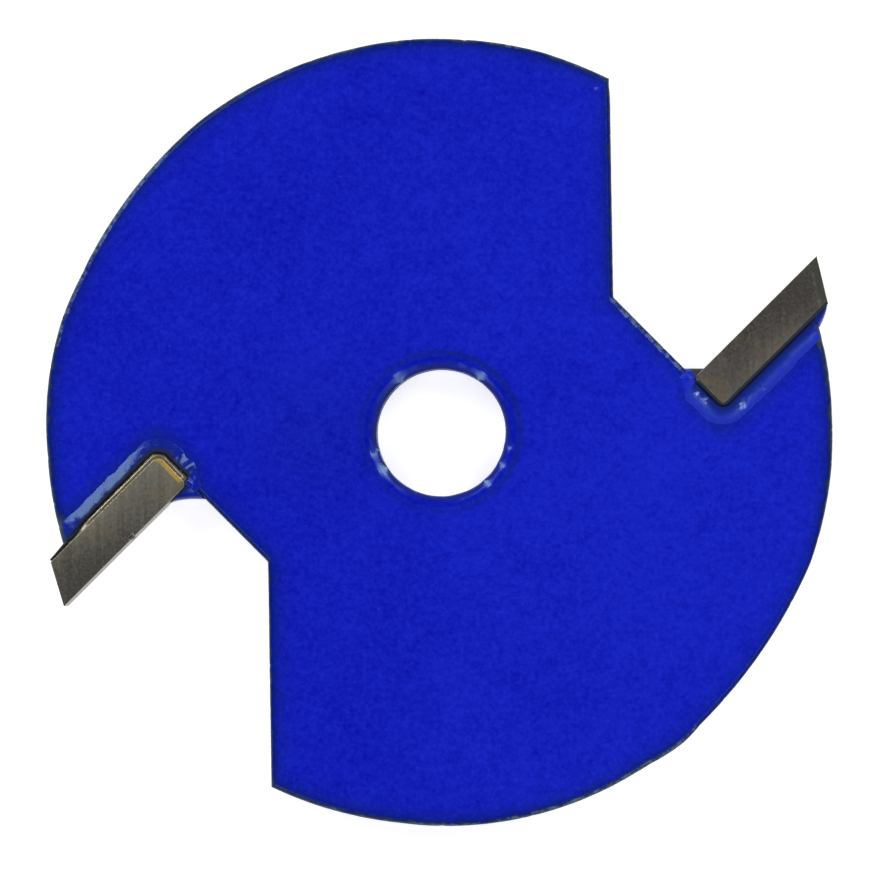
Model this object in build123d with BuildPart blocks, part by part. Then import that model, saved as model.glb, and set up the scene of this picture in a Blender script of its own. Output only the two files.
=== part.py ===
# Two-wing slotting cutter: a lacquered steel body with two brazed carbide tips.
#
# Frame: the origin is the centre of the arbor bore at mid thickness. +Z is the bore
# axis and points at the viewer. Seen from there the cutter turns anticlockwise, +X is
# to the right and +Y is up. Lengths are in millimetres and angles in degrees.
import os
from math import cos, degrees, radians, sin, sqrt, tan

from build123d import *

# Cutting circle and arbor bore
cutting_diameter = 50.8  # across the two cutting corners
bore_diameter = 7.94  # running fit on a 5/16 inch arbor
wing_count = 2
first_wing_angle = 24.9  # where the first cutting corner stands, from +X

# Steel body
body_thickness = 2.8
tip_projection = 1.3  # how far a cutting corner stands proud of the rim
edge_rounding = 0.35  # rim and gullet edges, broken by tumbling
bore_rounding = 0.6  # lead-in at each mouth of the bore
gullet_floor_length = 7.0  # from the cutting face to the foot of the gullet wall
gullet_opening_angle = 136.0  # between gullet floor and gullet wall
gullet_corner_radius = 0.2

# The rim was dressed by hand, which left one shallow dip in each sector.
rim_dip_directions = (-35.5, 145.5)
rim_dip_depths = (0.24, 0.18)
rim_dip_half_angle = 16.0

# Carbide tips
tip_length = 10.6  # along the cutting face
tip_thickness = 2.5  # from the cutting face to the back
hook_angle = 20.0  # cutting face against the radius
relief_angles = (12.0, 8.0)  # end face against the tangent, one for each tip
side_projection = 0.6  # how far a cutting corner stands proud of the body's faces
side_relief_back = 2.0  # the flanks close in behind the cutting face
side_relief_inward = 0.75  # and towards the bore
tip_back_corner_radius = 0.45
tip_front_corner_radius = 0.35

# Brazed joints
solder_gap = 0.1  # film between tip and seat
bead_width = 1.15
bead_height = 0.35
toe_webs = (0.8, 1.4)  # solder in front of each tip's foot, along the gullet floor
heel_webs = (0.75, 0.35)  # solder behind each tip, along the rim

# Worked out from the sizes above
cutting_radius = cutting_diameter / 2
body_radius = cutting_radius - tip_projection
half_thickness = body_thickness / 2
tip_half_width = half_thickness + side_projection
seat_depth = tip_thickness + solder_gap
seat_end = -tip_length - solder_gap
beyond_rim = cutting_diameter  # a reach that is surely past the rim


def wing_plane(wing_angle):
    """The plane of one wing: its origin is the cutting corner, x runs outwards along
    the cutting face and y runs forwards into the gullet."""
    outward = Vector(1, 0).rotate(Axis.Z, wing_angle)
    along_face = outward.rotate(Axis.Z, hook_angle)
    return Plane(origin=outward * cutting_radius, x_dir=along_face, z_dir=(0, 0, 1))


wing_planes = [wing_plane(first_wing_angle + i * 360 / wing_count) for i in range(wing_count)]

# The bore centre, and the point where the back of the seat meets the rim, in a wing's axes
bore_centre = Vector(-cutting_radius, 0).rotate(Axis.Z, -hook_angle)
seat_mouth_reach = sqrt(body_radius**2 - (seat_depth + bore_centre.Y) ** 2)
seat_mouth = Vector(bore_centre.X + seat_mouth_reach, -seat_depth)


# Steel body: a disc with its rim dips, two gullets, rounded edges, seats and bore
with BuildPart() as cutter_body:
    with BuildSketch():
        Circle(body_radius)
        for direction, depth in zip(rim_dip_directions, rim_dip_depths):
            half_chord = body_radius * sin(radians(rim_dip_half_angle))
            rise = body_radius * (1 - cos(radians(rim_dip_half_angle))) - depth
            dip_radius = (half_chord**2 + rise**2) / (2 * rise)
            dip_centre = Vector(body_radius - depth - dip_radius, 0).rotate(Axis.Z, direction)
            with Locations(dip_centre):
                Circle(dip_radius, mode=Mode.INTERSECT)
    extrude(amount=half_thickness, both=True)

    wall_foot = Vector(seat_end, gullet_floor_length)
    up_the_wall = Vector(0, -1).rotate(Axis.Z, gullet_opening_angle)
    with BuildSketch(*wing_planes):
        with BuildLine():
            gullet_side = FilletPolyline(
                (beyond_rim, -edge_rounding),
                (seat_end, -edge_rounding),
                wall_foot,
                wall_foot + up_the_wall * beyond_rim,
                radius=gullet_corner_radius,
            )
            Line(gullet_side @ 1, gullet_side @ 0)
        make_face()
    extrude(amount=body_thickness, both=True, mode=Mode.SUBTRACT)

    flat_faces = cutter_body.faces().filter_by(Axis.Z).sort_by(Axis.Z)
    fillet(flat_faces[0].edges() + flat_faces[-1].edges(), radius=edge_rounding)

    with BuildSketch(*wing_planes):
        with Locations((seat_end, -seat_depth)):
            Rectangle(beyond_rim, seat_depth, align=(Align.MIN, Align.MIN))
    extrude(amount=body_thickness, both=True, mode=Mode.SUBTRACT)

    Hole(bore_diameter / 2)
    bore_wall = cutter_body.faces().filter_by(GeomType.CYLINDER).sort_by_distance((0, 0, 0))[0]
    fillet(bore_wall.edges().filter_by(GeomType.CIRCLE), radius=bore_rounding)


def end_face_setback(relief_angle):
    """How far the back of the end face lies behind the cutting corner."""
    return tip_thickness * tan(radians(hook_angle + relief_angle))


def tip_outline(relief_angle):
    """A tip seen along the bore, in the axes of its wing."""
    with BuildSketch() as outline:
        with BuildLine():
            FilletPolyline(
                (0, 0),
                (-end_face_setback(relief_angle), -tip_thickness),
                (-tip_length, -tip_thickness),
                (-tip_length, 0),
                radius=(0, 0, tip_back_corner_radius, tip_front_corner_radius),
                close=True,
            )
        make_face()
    return outline.sketch


def make_tip(plane, outline):
    """One carbide tip: a bar whose flanks close in behind the cutting face and inwards."""
    flank_tilt = Location((0, 0, tip_half_width), (side_relief_back, -side_relief_inward, 0))
    with BuildPart() as tip:
        with BuildSketch(plane):
            add(outline)
        extrude(amount=2 * tip_half_width)
        split(bisect_by=Plane(plane.location * flank_tilt), keep=Keep.BOTTOM)
        mirror(about=Plane.XY)
    return tip.part


def make_joint(plane, outline, relief_angle, toe_web, heel_web):
    """The solder of one tip: a bead on each face of the body, a film in the seat, a web
    in front of the tip's foot and a web behind the tip on the rim."""
    face_plane = plane.offset(half_thickness)
    heel_turn = degrees(heel_web / body_radius)
    rim_reach = seat_mouth - bore_centre
    with BuildPart() as joint:
        with BuildLine(face_plane) as tip_side:
            FilletPolyline(
                (seat_mouth.X, -tip_thickness),
                (-tip_length, -tip_thickness),
                (-tip_length, 0),
                radius=tip_back_corner_radius,
            )
        bead_start = Plane(
            origin=tip_side.line @ 0,
            x_dir=-face_plane.y_dir,
            z_dir=tip_side.line % 0,
        )
        with BuildSketch(bead_start):
            with BuildLine():
                crest = TangentArc((0, bead_height), (bead_width, 0), tangent=(1, 0))
                Polyline(crest @ 1, (0, 0), crest @ 0)
            make_face()
        sweep(path=tip_side.line)
        Cylinder(body_radius - edge_rounding, 2 * tip_half_width, mode=Mode.INTERSECT)
        mirror(about=Plane.XY)

        with BuildSketch(plane):
            with BuildLine():
                rim = ThreePointArc(
                    seat_mouth,
                    bore_centre + rim_reach.rotate(Axis.Z, -heel_turn / 2),
                    bore_centre + rim_reach.rotate(Axis.Z, -heel_turn),
                )
                Polyline(
                    rim @ 1,
                    (-end_face_setback(relief_angle), -tip_thickness),
                    (seat_mouth.X, -tip_thickness),
                    rim @ 0,
                )
            make_face()
            with Locations((seat_end, -seat_depth)):
                Rectangle(seat_mouth.X - seat_end, seat_depth, align=(Align.MIN, Align.MIN))
            with BuildLine():
                Polyline(
                    (seat_end, 0),
                    (seat_end, toe_web),
                    (-tip_length + toe_web, 0),
                    close=True,
                )
            make_face()
            add(outline, mode=Mode.SUBTRACT)
        extrude(amount=half_thickness, both=True)
    return joint.part


# Write the pieces, each in the place it has on the cutter
os.makedirs("parts", exist_ok=True)
cutter_body.part.label = "cutter_body"
export_step(cutter_body.part, "parts/cutter_body.step")

wing_values = zip(wing_planes, relief_angles, toe_webs, heel_webs)
for number, (plane, relief_angle, toe_web, heel_web) in enumerate(wing_values, start=1):
    outline = tip_outline(relief_angle)
    carbide_tip = make_tip(plane, outline)
    carbide_tip.label = f"carbide_tip_{number}"
    export_step(carbide_tip, f"parts/carbide_tip_{number}.step")
    braze_joint = make_joint(plane, outline, relief_angle, toe_web, heel_web)
    braze_joint.label = f"braze_joint_{number}"
    export_step(braze_joint, f"parts/braze_joint_{number}.step")
    print(carbide_tip.label, carbide_tip.volume, braze_joint.label, braze_joint.volume)
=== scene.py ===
# %% [markdown]
# # Dressing a two-wing slotting cutter
# The cutter is a flat steel disc with two gullets, dipped in blue lacquer, with a carbide
# tip brazed into the seat of each gullet. The solid model comes in as a fixed frame. Each
# lesson below works out one visible surface as a formula on a grid of points, and then
# gives it the finish of the real one.

import math

import bmesh
import bpy
import numpy as np
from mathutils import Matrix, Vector


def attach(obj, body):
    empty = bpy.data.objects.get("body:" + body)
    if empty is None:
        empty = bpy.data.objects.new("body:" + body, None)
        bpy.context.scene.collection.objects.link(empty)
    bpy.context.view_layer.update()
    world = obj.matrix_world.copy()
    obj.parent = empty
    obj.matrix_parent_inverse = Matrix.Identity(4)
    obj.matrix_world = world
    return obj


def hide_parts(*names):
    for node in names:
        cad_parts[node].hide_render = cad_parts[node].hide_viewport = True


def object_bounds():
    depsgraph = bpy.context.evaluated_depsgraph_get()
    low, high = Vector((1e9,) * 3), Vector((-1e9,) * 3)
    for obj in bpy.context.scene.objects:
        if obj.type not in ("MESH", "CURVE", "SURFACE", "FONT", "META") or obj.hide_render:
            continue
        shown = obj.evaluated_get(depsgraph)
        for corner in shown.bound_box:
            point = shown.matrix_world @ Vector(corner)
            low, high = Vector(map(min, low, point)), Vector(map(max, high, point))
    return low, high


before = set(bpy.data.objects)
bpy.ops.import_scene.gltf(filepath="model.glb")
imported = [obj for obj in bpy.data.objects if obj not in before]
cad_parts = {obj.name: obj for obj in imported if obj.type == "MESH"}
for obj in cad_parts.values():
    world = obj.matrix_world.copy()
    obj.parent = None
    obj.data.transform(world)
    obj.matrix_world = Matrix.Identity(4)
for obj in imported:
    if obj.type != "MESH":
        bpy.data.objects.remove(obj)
solid_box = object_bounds()
MM = 0.001
print("nodes", sorted(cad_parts))

# %% [markdown]
# ## Where the two wings stand
# The cutter is measured from the frame rather than typed in again. The point of a tip that
# lies furthest from the bore is its cutting corner, and everything on a wing is placed from
# there: x runs outwards along the cutting face and y runs forwards into the gullet. The two
# wings are half a turn apart, so the second one is the first with x and y changed in sign.

# %% Measure the wing from its tip
HOOK_ANGLE = math.radians(20)


def node_points(name):
    """The corner points of a solid, one row each, in millimetres."""
    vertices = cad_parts[name].data.vertices
    points = np.empty(len(vertices) * 3)
    vertices.foreach_get("co", points)
    return points.reshape(-1, 3) / MM


def from_axis(points):
    """Distance of each point from the bore's axis."""
    return np.hypot(points[..., 0], points[..., 1])


tip_points = node_points("carbide_tip_1")
cutting_corner = tip_points[from_axis(tip_points).argmax(), :2]
wing_turn = math.atan2(cutting_corner[1], cutting_corner[0]) + HOOK_ANGLE
along_face = np.array([math.cos(wing_turn), math.sin(wing_turn)])
ahead = np.array([-math.sin(wing_turn), math.cos(wing_turn)])
print("cutting corner", cutting_corner.round(3), "face turned", round(math.degrees(wing_turn), 2))


# %% Go between the wing's axes and the cutter's
def wing_view(points):
    """Points of the cutter as the first wing sees them: how far along its face and ahead."""
    from_corner = points[..., :2] - cutting_corner
    return np.stack([from_corner @ along_face, from_corner @ ahead], axis=-1)


def on_cutter(x, y, wing=0):
    """Points of a wing as x and y on the cutter. Wing 1 stands half a turn from wing 0."""
    placed = cutting_corner + x[..., None] * along_face + y[..., None] * ahead
    return placed * (-1 if wing else 1)


bore_centre = wing_view(np.zeros(2))
print("bore centre in the wing's axes", bore_centre.round(3))

# %% Measure the tips and the body
tip_length, tip_thickness = -wing_view(tip_points).min(axis=0)
tip_half_width = tip_points[:, 2].max()
body_points = node_points("cutter_body")
body_radius = from_axis(body_points).max()
bore_radius = from_axis(body_points).min()
half_thickness = body_points[:, 2].max()
print("tip", tip_length.round(2), tip_thickness.round(2), tip_half_width.round(2))
print("body", body_radius.round(2), bore_radius.round(2), half_thickness.round(2))


# %% [markdown]
# ## Grids, wandering lines and pieces
# A few helpers serve every lesson. One numbers the four corners of each cell of a grid. One
# draws a line that wanders like something made by hand: it adds sine waves that fit the path
# a whole number of times, so the line closes on itself. The last puts points and faces into
# a mesh, turns the faces outwards and hands the piece to the frame.

# %% Faces of a grid
def grid_faces(rows, columns, first=0, close_columns=False):
    """The four corners of each cell of a grid whose points are numbered row by row. Closed
    columns join the last point of each row to its first."""
    row_first = np.arange(rows - 1)[:, None] * columns
    column = np.arange(columns if close_columns else columns - 1)[None, :]
    next_column = (column + 1) % columns
    corners = [row_first + column, row_first + next_column]
    corners += [row_first + columns + next_column, row_first + columns + column]
    return (np.stack(corners, axis=-1).reshape(-1, 4) + first).tolist()


def tube_faces(rows, columns):
    """Faces of a tube whose rows close on themselves, with its first and last row filled."""
    points = rows * columns
    ends = [list(range(columns)), list(range(points - columns, points))]
    return grid_faces(rows, columns, close_columns=True) + ends


# %% A line that wanders, and small bites
def wander(along, length, longest, shortest, seed):
    """A height from -1 to 1 for each place along a path: the sum of sine waves between the
    longest and shortest wavelength, each with a chance phase and size."""
    chance = np.random.default_rng(seed)
    turns = np.arange(max(1, round(length / longest)), round(length / shortest) + 1)
    phase = chance.uniform(0, 2 * np.pi, turns.size)
    size = chance.normal(size=turns.size) / np.sqrt(turns)
    waves = (size * np.sin(2 * np.pi * along[..., None] / length * turns + phase)).sum(axis=-1)
    return waves / np.abs(waves).max()


def bites(along, length, count, depth, width, seed):
    """Depth of small bell-shaped bites at chance places along a closed path."""
    chance = np.random.default_rng(seed)
    places = chance.uniform(0, length, count)
    depths = depth * chance.uniform(0.25, 1, count) ** 2
    widths = width * chance.uniform(0.5, 1.6, count)
    away = (along[:, None] - places + length / 2) % length - length / 2
    return (depths * bell(away, 0, widths)).sum(axis=1)


# %% Smooth steps, bells and points on a circle
def ease(value, low, high):
    """0 below low, 1 above high, and a smooth S between them."""
    share = np.clip((value - low) / (high - low), 0, 1)
    return share * share * (3 - 2 * share)


def bell(value, centre, half_width, power=2):
    """1 at the centre, falling away on both sides. A higher power makes it boxier."""
    return np.exp(-(((value - centre) / half_width) ** power))


def polar(reach, turn):
    """x and y at a reach from the centre, in the direction of an angle in radians."""
    return np.stack([reach * np.cos(turn), reach * np.sin(turn)], axis=-1)


def with_height(plan, height):
    """Points of x, y and z, from points of x and y and their heights."""
    return np.concatenate([plan, height[..., None]], axis=-1)


# %% Hand a finished mesh to the frame
def new_piece(name, points, faces, node, slot, **values):
    """A smooth closed piece from points in millimetres. It stands for one solid of the
    frame, and each extra value is kept on its points for the material to read."""
    mesh = bpy.data.meshes.new(name)
    mesh.from_pydata((points * MM).tolist(), [], faces)
    for value_name, value in values.items():
        layer = mesh.attributes.new(value_name, "FLOAT", "POINT")
        layer.data.foreach_set("value", np.ascontiguousarray(value, np.float32))
    shell = bmesh.new()
    shell.from_mesh(mesh)
    bmesh.ops.recalc_face_normals(shell, faces=shell.faces)
    open_edges = sum(not edge.is_manifold for edge in shell.edges)
    shell.to_mesh(mesh)
    shell.free()
    mesh.polygons.foreach_set("use_smooth", np.ones(len(mesh.polygons), bool))
    piece = bpy.data.objects.new(name, mesh)
    bpy.context.scene.collection.objects.link(piece)
    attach(piece, "root")
    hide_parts(node)
    print(name, len(mesh.vertices), "points,", open_edges, "open edges")
    return piece


# %% [markdown]
# ## The outline of the body
# Half of the outline belongs to each wing: down the gullet wall, round its foot, along the
# gullet floor into the seat, out along the back of the seat, and round the rim to the next
# wall. Moving the whole outline into the steel gives the lines on which the edge rounding
# lies. Each side is moved by itself, and the corners are where moved neighbours cross, so
# no two lines ever cross each other.

# %% Sizes of the gullet and the edges
SOLDER_GAP = 0.1
GULLET_FLOOR = 6.9
WALL_TURN = math.radians(46)
FOOT_RADIUS = 0.2
EDGE_ROUNDING = 0.35
SEAT_ROUNDING = 0.04
FLOOR_ASIDE = (0.15, -0.04)
SEAT_BEGINS = 0.7
ASIDE_BEGINS = 0.3
SIDE_POINTS = {"wall": 160, "foot": 9, "floor": 100, "back": 50, "rim": 580}

seat_end = -tip_length - SOLDER_GAP
seat_depth = tip_thickness + SOLDER_GAP
wall_up = np.array([math.cos(WALL_TURN), math.sin(WALL_TURN)])
wall_inward = np.array([-wall_up[1], wall_up[0]])
floor_inward = np.array([-1.0, 0.0])
foot_centre = np.array([seat_end, GULLET_FLOOR]) - np.linalg.solve(
    np.array([floor_inward, wall_inward]), [FOOT_RADIUS, FOOT_RADIUS]
)
print("foot of the wall turns about", foot_centre.round(3))


# %% One wing's share of the outline
def wing_outline(inset, seat_inset, aside):
    """x and y of the outline in the wing's axes, one row for each inset. Straight sides run
    evenly from corner to corner, and round ones turn evenly about their centre. The seat,
    which the tip and its solder hide, has an inset of its own. The open part of the floor
    lies aside by a little, and the foot follows along the wall."""
    share = {side: np.arange(count) / count for side, count in SIDE_POINTS.items()}
    rim = body_radius - inset
    foot_here = foot_centre + aside / math.cos(WALL_TURN) * wall_up
    wall_end = foot_here + (FOOT_RADIUS + inset) * wall_inward
    from_bore = wall_end - bore_centre
    forward = (from_bore @ wall_up)[:, None]
    reach = np.sqrt(forward**2 - (from_bore**2).sum(axis=1, keepdims=True) + rim**2) - forward
    wall = wall_end[:, None] + (reach * (1 - share["wall"]))[..., None] * wall_up

    foot_turn = WALL_TURN + np.pi / 2 + share["foot"] * (np.pi / 2 - WALL_TURN)
    foot = polar(FOOT_RADIUS + inset, foot_turn) + foot_here

    floor_y = foot_here[1] - share["floor"] * (foot_here[1] + seat_depth + seat_inset)
    floor_inset = inset + (seat_inset - inset) * ease(-floor_y, 0.0, SEAT_BEGINS)
    floor_inset = floor_inset - aside * ease(floor_y, -ASIDE_BEGINS, ASIDE_BEGINS)
    floor = np.stack([seat_end - floor_inset, floor_y], axis=-1)

    back_y = -seat_depth - seat_inset
    mouth = bore_centre[0] + np.sqrt(rim**2 - (back_y - bore_centre[1]) ** 2)
    back_x = seat_end - seat_inset + share["back"] * (mouth - seat_end + seat_inset)
    back = np.stack([back_x, back_y + 0 * back_x], axis=-1)

    wall_top = wall[:, :1] - bore_centre
    first_turn = np.arctan2(back_y - bore_centre[1], mouth - bore_centre[0])
    last_turn = np.arctan2(wall_top[..., 1], wall_top[..., 0]) - np.pi
    rim_turn = first_turn + share["rim"] * (last_turn - first_turn)
    round_rim = polar(rim, rim_turn) + bore_centre
    return np.concatenate([wall, foot, floor, back, round_rim], axis=1)


# %% [markdown]
# ## The dressed rim
# The real rim was dressed by hand on a wheel, which left a shallow flat on either side, and
# the tumbled edges wander by a hair and carry small bites. The whole outline is therefore
# worked out for many insets at once, then nudged along its own inward direction. A row of
# the dressing is a direction in degrees, a half angle and a depth.

# %% Both wings, with the dips and swells of the rim
RIM_DRESSING = (
    (-35.5, 16.0, 0.22),
    (145.5, 17.5, 0.155),
    (-78.0, 18.0, -0.11),
    (-53.0, 4.5, -0.11),
    (170.0, 13.0, -0.11),
    (62.0, 13.0, 0.10),
    (96.0, 7.0, -0.03),
    (2.0, 7.0, 0.04),
)
RIM_ASIDE = 0.066
RIM_ASIDE_DIRECTION = 162.0
FOLLOWS_FROM = 1.2
FOLLOWS_WHOLLY = 0.2


def angle_away(turn, direction):
    """Degrees between each angle and a direction, from -180 to 180."""
    return (np.degrees(turn) - direction + 180) % 360 - 180


def body_outline(inset, seat_inset):
    """The closed outline on the cutter, one row of points for each inset. In a dip the rim
    lies lower by the dip's depth times one less the squared share of its half angle, and a
    swell is a dip of negative depth. The whole rim stands a few hundredths aside from the
    bore. Other sides follow where they come close to the rim."""
    halves = [wing_outline(inset, seat_inset, aside) for aside in FLOOR_ASIDE]
    placed = [on_cutter(half[..., 0], half[..., 1], wing) for wing, half in enumerate(halves)]
    outline = np.concatenate(placed, axis=1)
    turn = np.arctan2(outline[..., 1], outline[..., 0])
    sides = np.repeat(list(SIDE_POINTS), list(SIDE_POINTS.values()))
    on_rim = np.tile(sides == "rim", 2)
    close = from_axis(outline) + inset
    close = ease(close, body_radius - FOLLOWS_FROM, body_radius - FOLLOWS_WHOLLY)
    follows = np.where(on_rim, 1.0, close)
    for direction, half_angle, depth in RIM_DRESSING:
        share = angle_away(turn, direction) / half_angle
        low = depth * np.clip(1 - share**2, 0, None) * follows
        outline = outline * (1 - low / from_axis(outline))[..., None]
    aside = RIM_ASIDE * np.cos(np.radians(angle_away(turn, RIM_ASIDE_DIRECTION))) * follows
    return outline * (1 + aside / from_axis(outline))[..., None]


sharp_outline = body_outline(np.zeros((1, 1)), np.zeros((1, 1)))[0]
steps = np.roll(sharp_outline, -1, axis=0) - sharp_outline
along_outline = np.concatenate([[0], np.cumsum(np.hypot(*steps.T))[:-1]])
outline_length = np.hypot(*steps.T).sum()
tangent = np.roll(sharp_outline, -1, axis=0) - np.roll(sharp_outline, 1, axis=0)
tangent = tangent / np.hypot(*tangent.T)[:, None]
inward = np.stack([tangent[:, 1], -tangent[:, 0]], axis=-1)
print("outline", round(outline_length, 1), "mm in", len(sharp_outline), "points")

# %% Rows of the edge, from the upper face round to the lower
FACE_INSETS = np.array([2.4, 1.9, 1.5, 1.2, 0.95, 0.75, 0.6, 0.5, 0.42, 0.37])
SIDE_WALL_DROP = 0.7
WEAR_INSET = 0.12
WEAR_REACH = 0.16
turns = np.linspace(np.pi / 2, 0, 9)
edge_inset = np.concatenate([FACE_INSETS, EDGE_ROUNDING * (1 - np.cos(turns)), [0]])[:, None]
edge_drop = [0 * FACE_INSETS, EDGE_ROUNDING * (1 - np.sin(turns)), [SIDE_WALL_DROP]]
edge_drop = np.concatenate(edge_drop)[:, None]
seat_share = SEAT_ROUNDING / EDGE_ROUNDING
seat_inset = np.where(
    edge_inset > EDGE_ROUNDING,
    edge_inset - EDGE_ROUNDING + SEAT_ROUNDING,
    edge_inset * seat_share,
)
upper_half = body_outline(edge_inset, seat_inset)
near_edge = bell(edge_inset, WEAR_INSET, WEAR_REACH)
print("edge rows", upper_half.shape)


# %% Nudge the rows and lay the upper half on the lower
HAND_WANDER = 0.005
LUMP_HEIGHT = 0.008
BITES = {"count": 80, "depth": 0.045, "width": 0.10}
BITE_FALL = 0.6


def edge_half(side):
    """Points of the edge above (side 1) or below (side -1) mid thickness. The hand-dressed
    wander moves all rows alike and only inwards, the bites reach only the rounding of their
    own side, and the lacquer lies in low lumps on the rounding."""
    hand = HAND_WANDER * (1 + wander(along_outline, outline_length, 12, 0.9, seed=3))
    bite = bites(along_outline, outline_length, **BITES, seed=11 + side)
    lumps = wander(along_outline, outline_length, 3.0, 0.45, seed=15 + side)
    moved = upper_half + inward * (hand + near_edge * (bite + LUMP_HEIGHT * lumps))[..., None]
    height = half_thickness - edge_drop - BITE_FALL * near_edge * bite
    return with_height(moved, side * np.broadcast_to(height, moved.shape[:2]))


edge_points = np.concatenate([edge_half(1), edge_half(-1)[::-1]])
edge_gap = np.concatenate([edge_inset, edge_inset[::-1]]) + np.zeros(edge_points.shape[:2])
print("edge grid", edge_points.shape)

# %% [markdown]
# ## The bore
# The bore is turned, so its surface is a profile of radius and height carried round the
# axis: in from the face, down over a lead-in that falls slowly at first and ever faster
# towards the bore, and straight through. The coat gathered there in soft lumps, which break
# the highlight of the lead-in into patches, and it hangs a little into each mouth.

# %% The profile of the bore
LEAD_IN = 0.56
TRUE_BORE_LEVEL = 0.55
BORE_COLUMNS = 360
SLOPE = 0.42
SLOPE_STARTS = 4.52
LUMPS_AT = 4.28
LUMPS_REACH = 0.17
LUMP_RISE = 0.022
BLOB_RISE = 0.02
COAT_AT_MOUTH = 0.06
COAT_LEANS = ((1, 130, 0.067), (2, 100, 0.030))
DRIP_DEPTH = 0.012
BLOBS = ((128, 5.0), (54, 4.2), (197, 4.0), (214, 6.0), (-12, 2.6), (-28, 2.8), (-48, 3.2))


def coat_blobs(turn):
    """Near 1 in the directions where a blob of coat lies, each with its half width."""
    return sum(bell(angle_away(turn, blob), 0, half_width) for blob, half_width in BLOBS)


ring_radii = np.array([6.2, 5.9, 5.6, 5.4, 5.25, 5.12, 5.0, 4.9, 4.8, 4.7, 4.6])
lead_turns = np.linspace(0, np.pi / 2, 24)
bore_r = np.concatenate([ring_radii, bore_radius + LEAD_IN * (1 - np.sin(lead_turns))])[:, None]
lead_drop = LEAD_IN * (1 - np.cos(lead_turns))
round_drop = np.concatenate([0 * ring_radii, lead_drop])[:, None]
slope_drop = SLOPE * np.clip(SLOPE_STARTS - bore_r, 0, None)
around = np.arange(BORE_COLUMNS) / BORE_COLUMNS * 2 * np.pi
blob_here = coat_blobs(around)


def bore_half(side):
    """Points from the face into the bore, above (side 1) or below (side -1) mid thickness.
    The lead-in is a quarter circle, filled to a plain slope where a blob of coat lies. Lumps
    move it up and down, and at the mouth the coat narrows the bore by a few hundredths, most
    at the upper left where it ran together."""
    whole_turn = 2 * np.pi
    lumps = wander(around, whole_turn, whole_turn / 8, whole_turn / 40, seed=21 + side)
    drips = wander(around, whole_turn, whole_turn / 5, whole_turn / 24, seed=31 + side)
    on_lead = bell(bore_r, LUMPS_AT, LUMPS_REACH)
    coat = COAT_AT_MOUTH + DRIP_DEPTH * drips
    for times, direction, depth in COAT_LEANS:
        coat = coat + depth * np.cos(times * (around - math.radians(direction)))
    radius = bore_r - np.clip(coat, 0, None) * ease(bore_r, bore_radius + 0.35, bore_radius)
    drop = round_drop + np.clip(blob_here, 0, 1) * (slope_drop - round_drop)
    height = half_thickness - drop + on_lead * (LUMP_RISE * lumps + BLOB_RISE * blob_here)
    true_bore = with_height(polar(bore_radius, around), TRUE_BORE_LEVEL + 0 * around)
    rows = with_height(polar(radius, around), height)
    return np.concatenate([rows, true_bore[None]]) * [1, 1, side]


bore_points = np.concatenate([bore_half(1), bore_half(-1)[::-1]])
bore_gap = np.clip(from_axis(bore_points) - bore_radius, 0, None)
print("bore grid", bore_points.shape)

# %% [markdown]
# ## The lacquered body as one mesh
# The edge and the bore are two grids. What is left of each face is a flat field between
# two loops of points, and a flat field needs no formula: Blender's own triangle fill spans
# it. The loops are shared, so the body comes out closed.

# %% Where the points of the body lie
body_grid = np.concatenate([edge_points.reshape(-1, 3), bore_points.reshape(-1, 3)])
gap = np.concatenate([edge_gap.ravel(), bore_gap.ravel()])
body_turn = np.arctan2(body_grid[:, 1], body_grid[:, 0])
body_reach = from_axis(body_grid)


OUTER_PART = (22.0, 23.0)
WHOLE_WITHIN = 0.55


def near_direction(direction, half_angle):
    """1 towards a direction and 0 beyond its half angle, on the outer part of the body."""
    away = np.abs(angle_away(body_turn, direction))
    return ease(body_reach, *OUTER_PART) * (1 - ease(away, WHOLE_WITHIN * half_angle, half_angle))


BAND_FADE = 0.12


def band(low, high):
    """1 where the gap to the nearest edge lies between two values, and fading beyond them."""
    return ease(gap, low - BAND_FADE, low) * (1 - ease(gap, high, high + BAND_FADE))


def rim_patches(rows):
    """Patches of wear and painted glints along the rim. A row is the amount of a patch, its
    direction and half angle, and its least and greatest gap to the edge."""
    return [amount * near_direction(*place) * band(*gaps) for amount, place, gaps in rows]


FLOOR_STRIP = (-0.9, 0.3)
FLOOR_BEGINS = (0.6, 1.2)
FLOOR_ENDS = (GULLET_FLOOR, 7.4)


def on_floor_edge():
    """1 along the first wing's gullet floor, from the foot of the wall to the solder."""
    seen = wing_view(body_grid)
    beside = (seen[:, 0] > seat_end + FLOOR_STRIP[0]) & (seen[:, 0] < seat_end + FLOOR_STRIP[1])
    return beside * ease(seen[:, 1], *FLOOR_BEGINS) * (1 - ease(seen[:, 1], *FLOOR_ENDS))


AHEAD_OF_TIP = (-0.6, 0.4)


def beside_tip(wing, low, high):
    """1 up to a low distance from the tip's back and inner end, and 0 beyond a high one."""
    seen = wing_view(body_grid * (-1 if wing else 1))
    over = np.clip([-tip_length - seen[:, 0], -tip_thickness - seen[:, 1]], 0, None)
    return (1 - ease(np.hypot(*over), low, high)) * ease(-seen[:, 1], *AHEAD_OF_TIP)
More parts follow.
